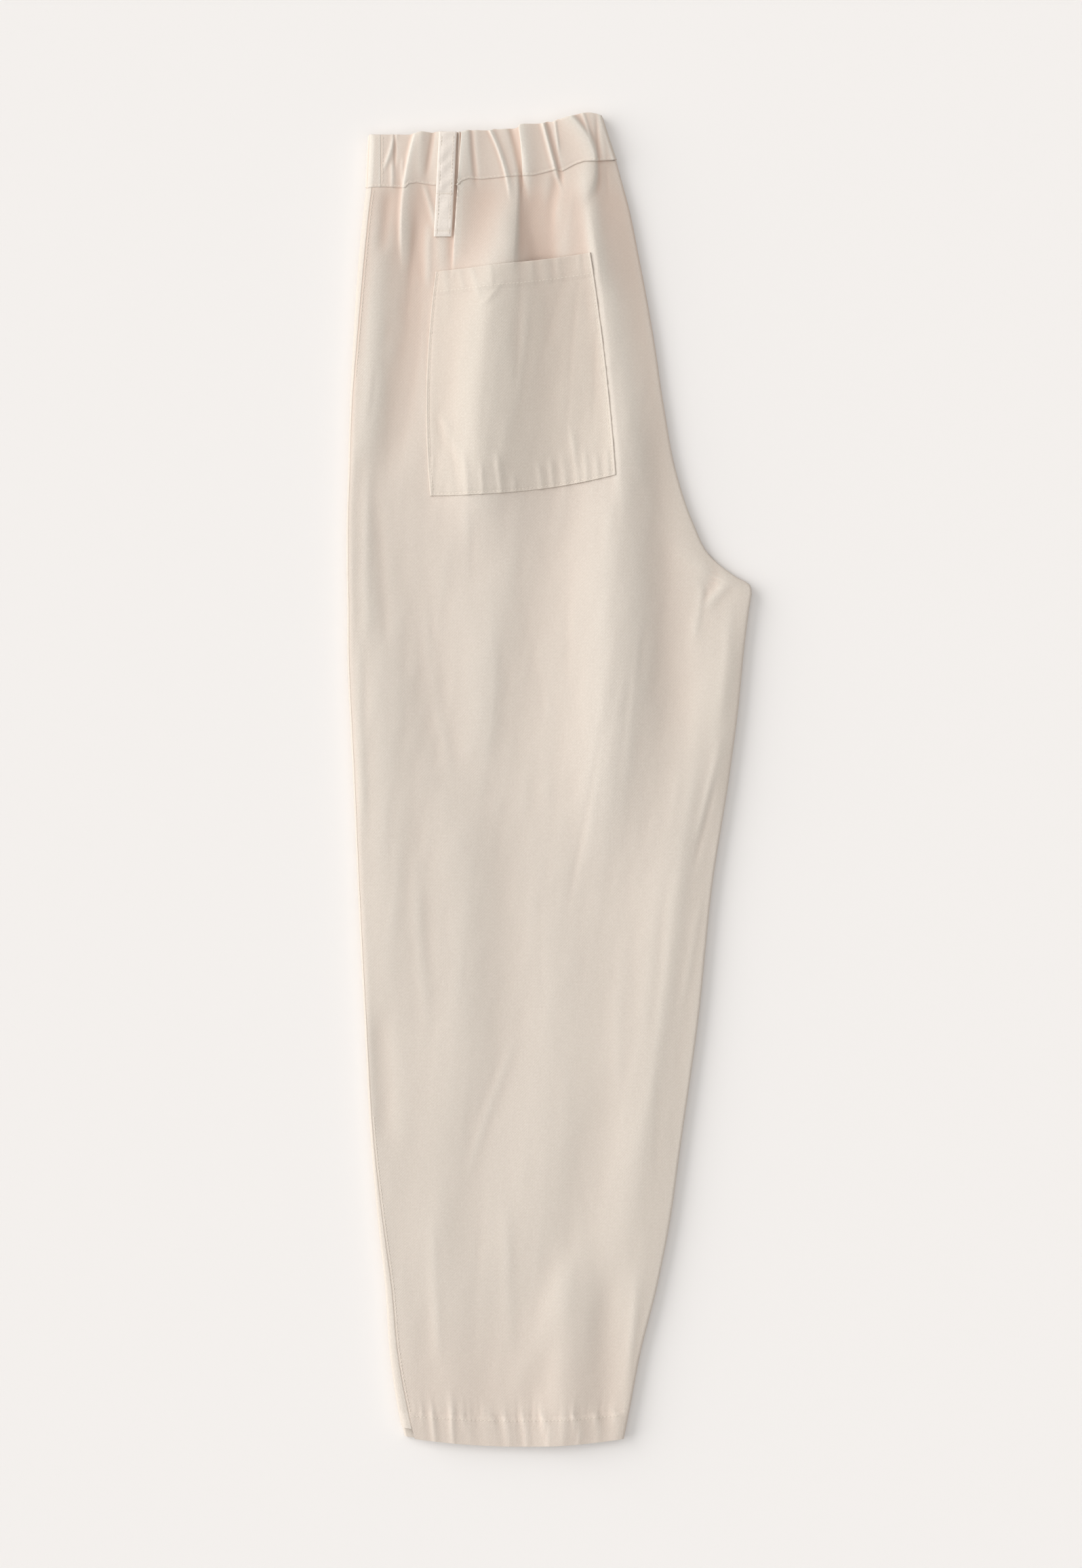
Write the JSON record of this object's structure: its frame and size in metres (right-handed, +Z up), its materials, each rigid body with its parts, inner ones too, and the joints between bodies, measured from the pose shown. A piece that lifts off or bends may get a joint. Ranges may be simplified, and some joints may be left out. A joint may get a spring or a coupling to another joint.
{
  "type": "tapered trousers",
  "caption": "Tapered trousers in pale twill with an elasticated waist and a patch back pocket, folded lengthwise leg on leg and laid flat.",
  "frame": {"origin": "middle of the bounding box, on the surface that the folded trousers lie on", "axes": "+Y along the legs from the hems to the waist, +X from the side seams to the crotch, +Z up from the surface"},
  "size_m": [0.307, 1.0104, 0.0156],
  "materials": {
    "leg_twill": "matte undyed cotton and linen twill, washed and softly creased",
    "waistband_twill": "matte undyed twill gathered on elastic",
    "loop_twill": "matte undyed twill strap, edge stitched",
    "pocket_twill": "matte undyed twill patch, puckered along its seams"
  },
  "bodies": {
    "root": {"left_back": "leg_twill", "left_front": "leg_twill", "right_leg": "leg_twill", "waistband_left_back": "waistband_twill", "waistband_left_front": "waistband_twill", "waistband_folded": "waistband_twill", "belt_loop": "loop_twill", "back_pocket": "pocket_twill"}
  },
  "joints": []
}
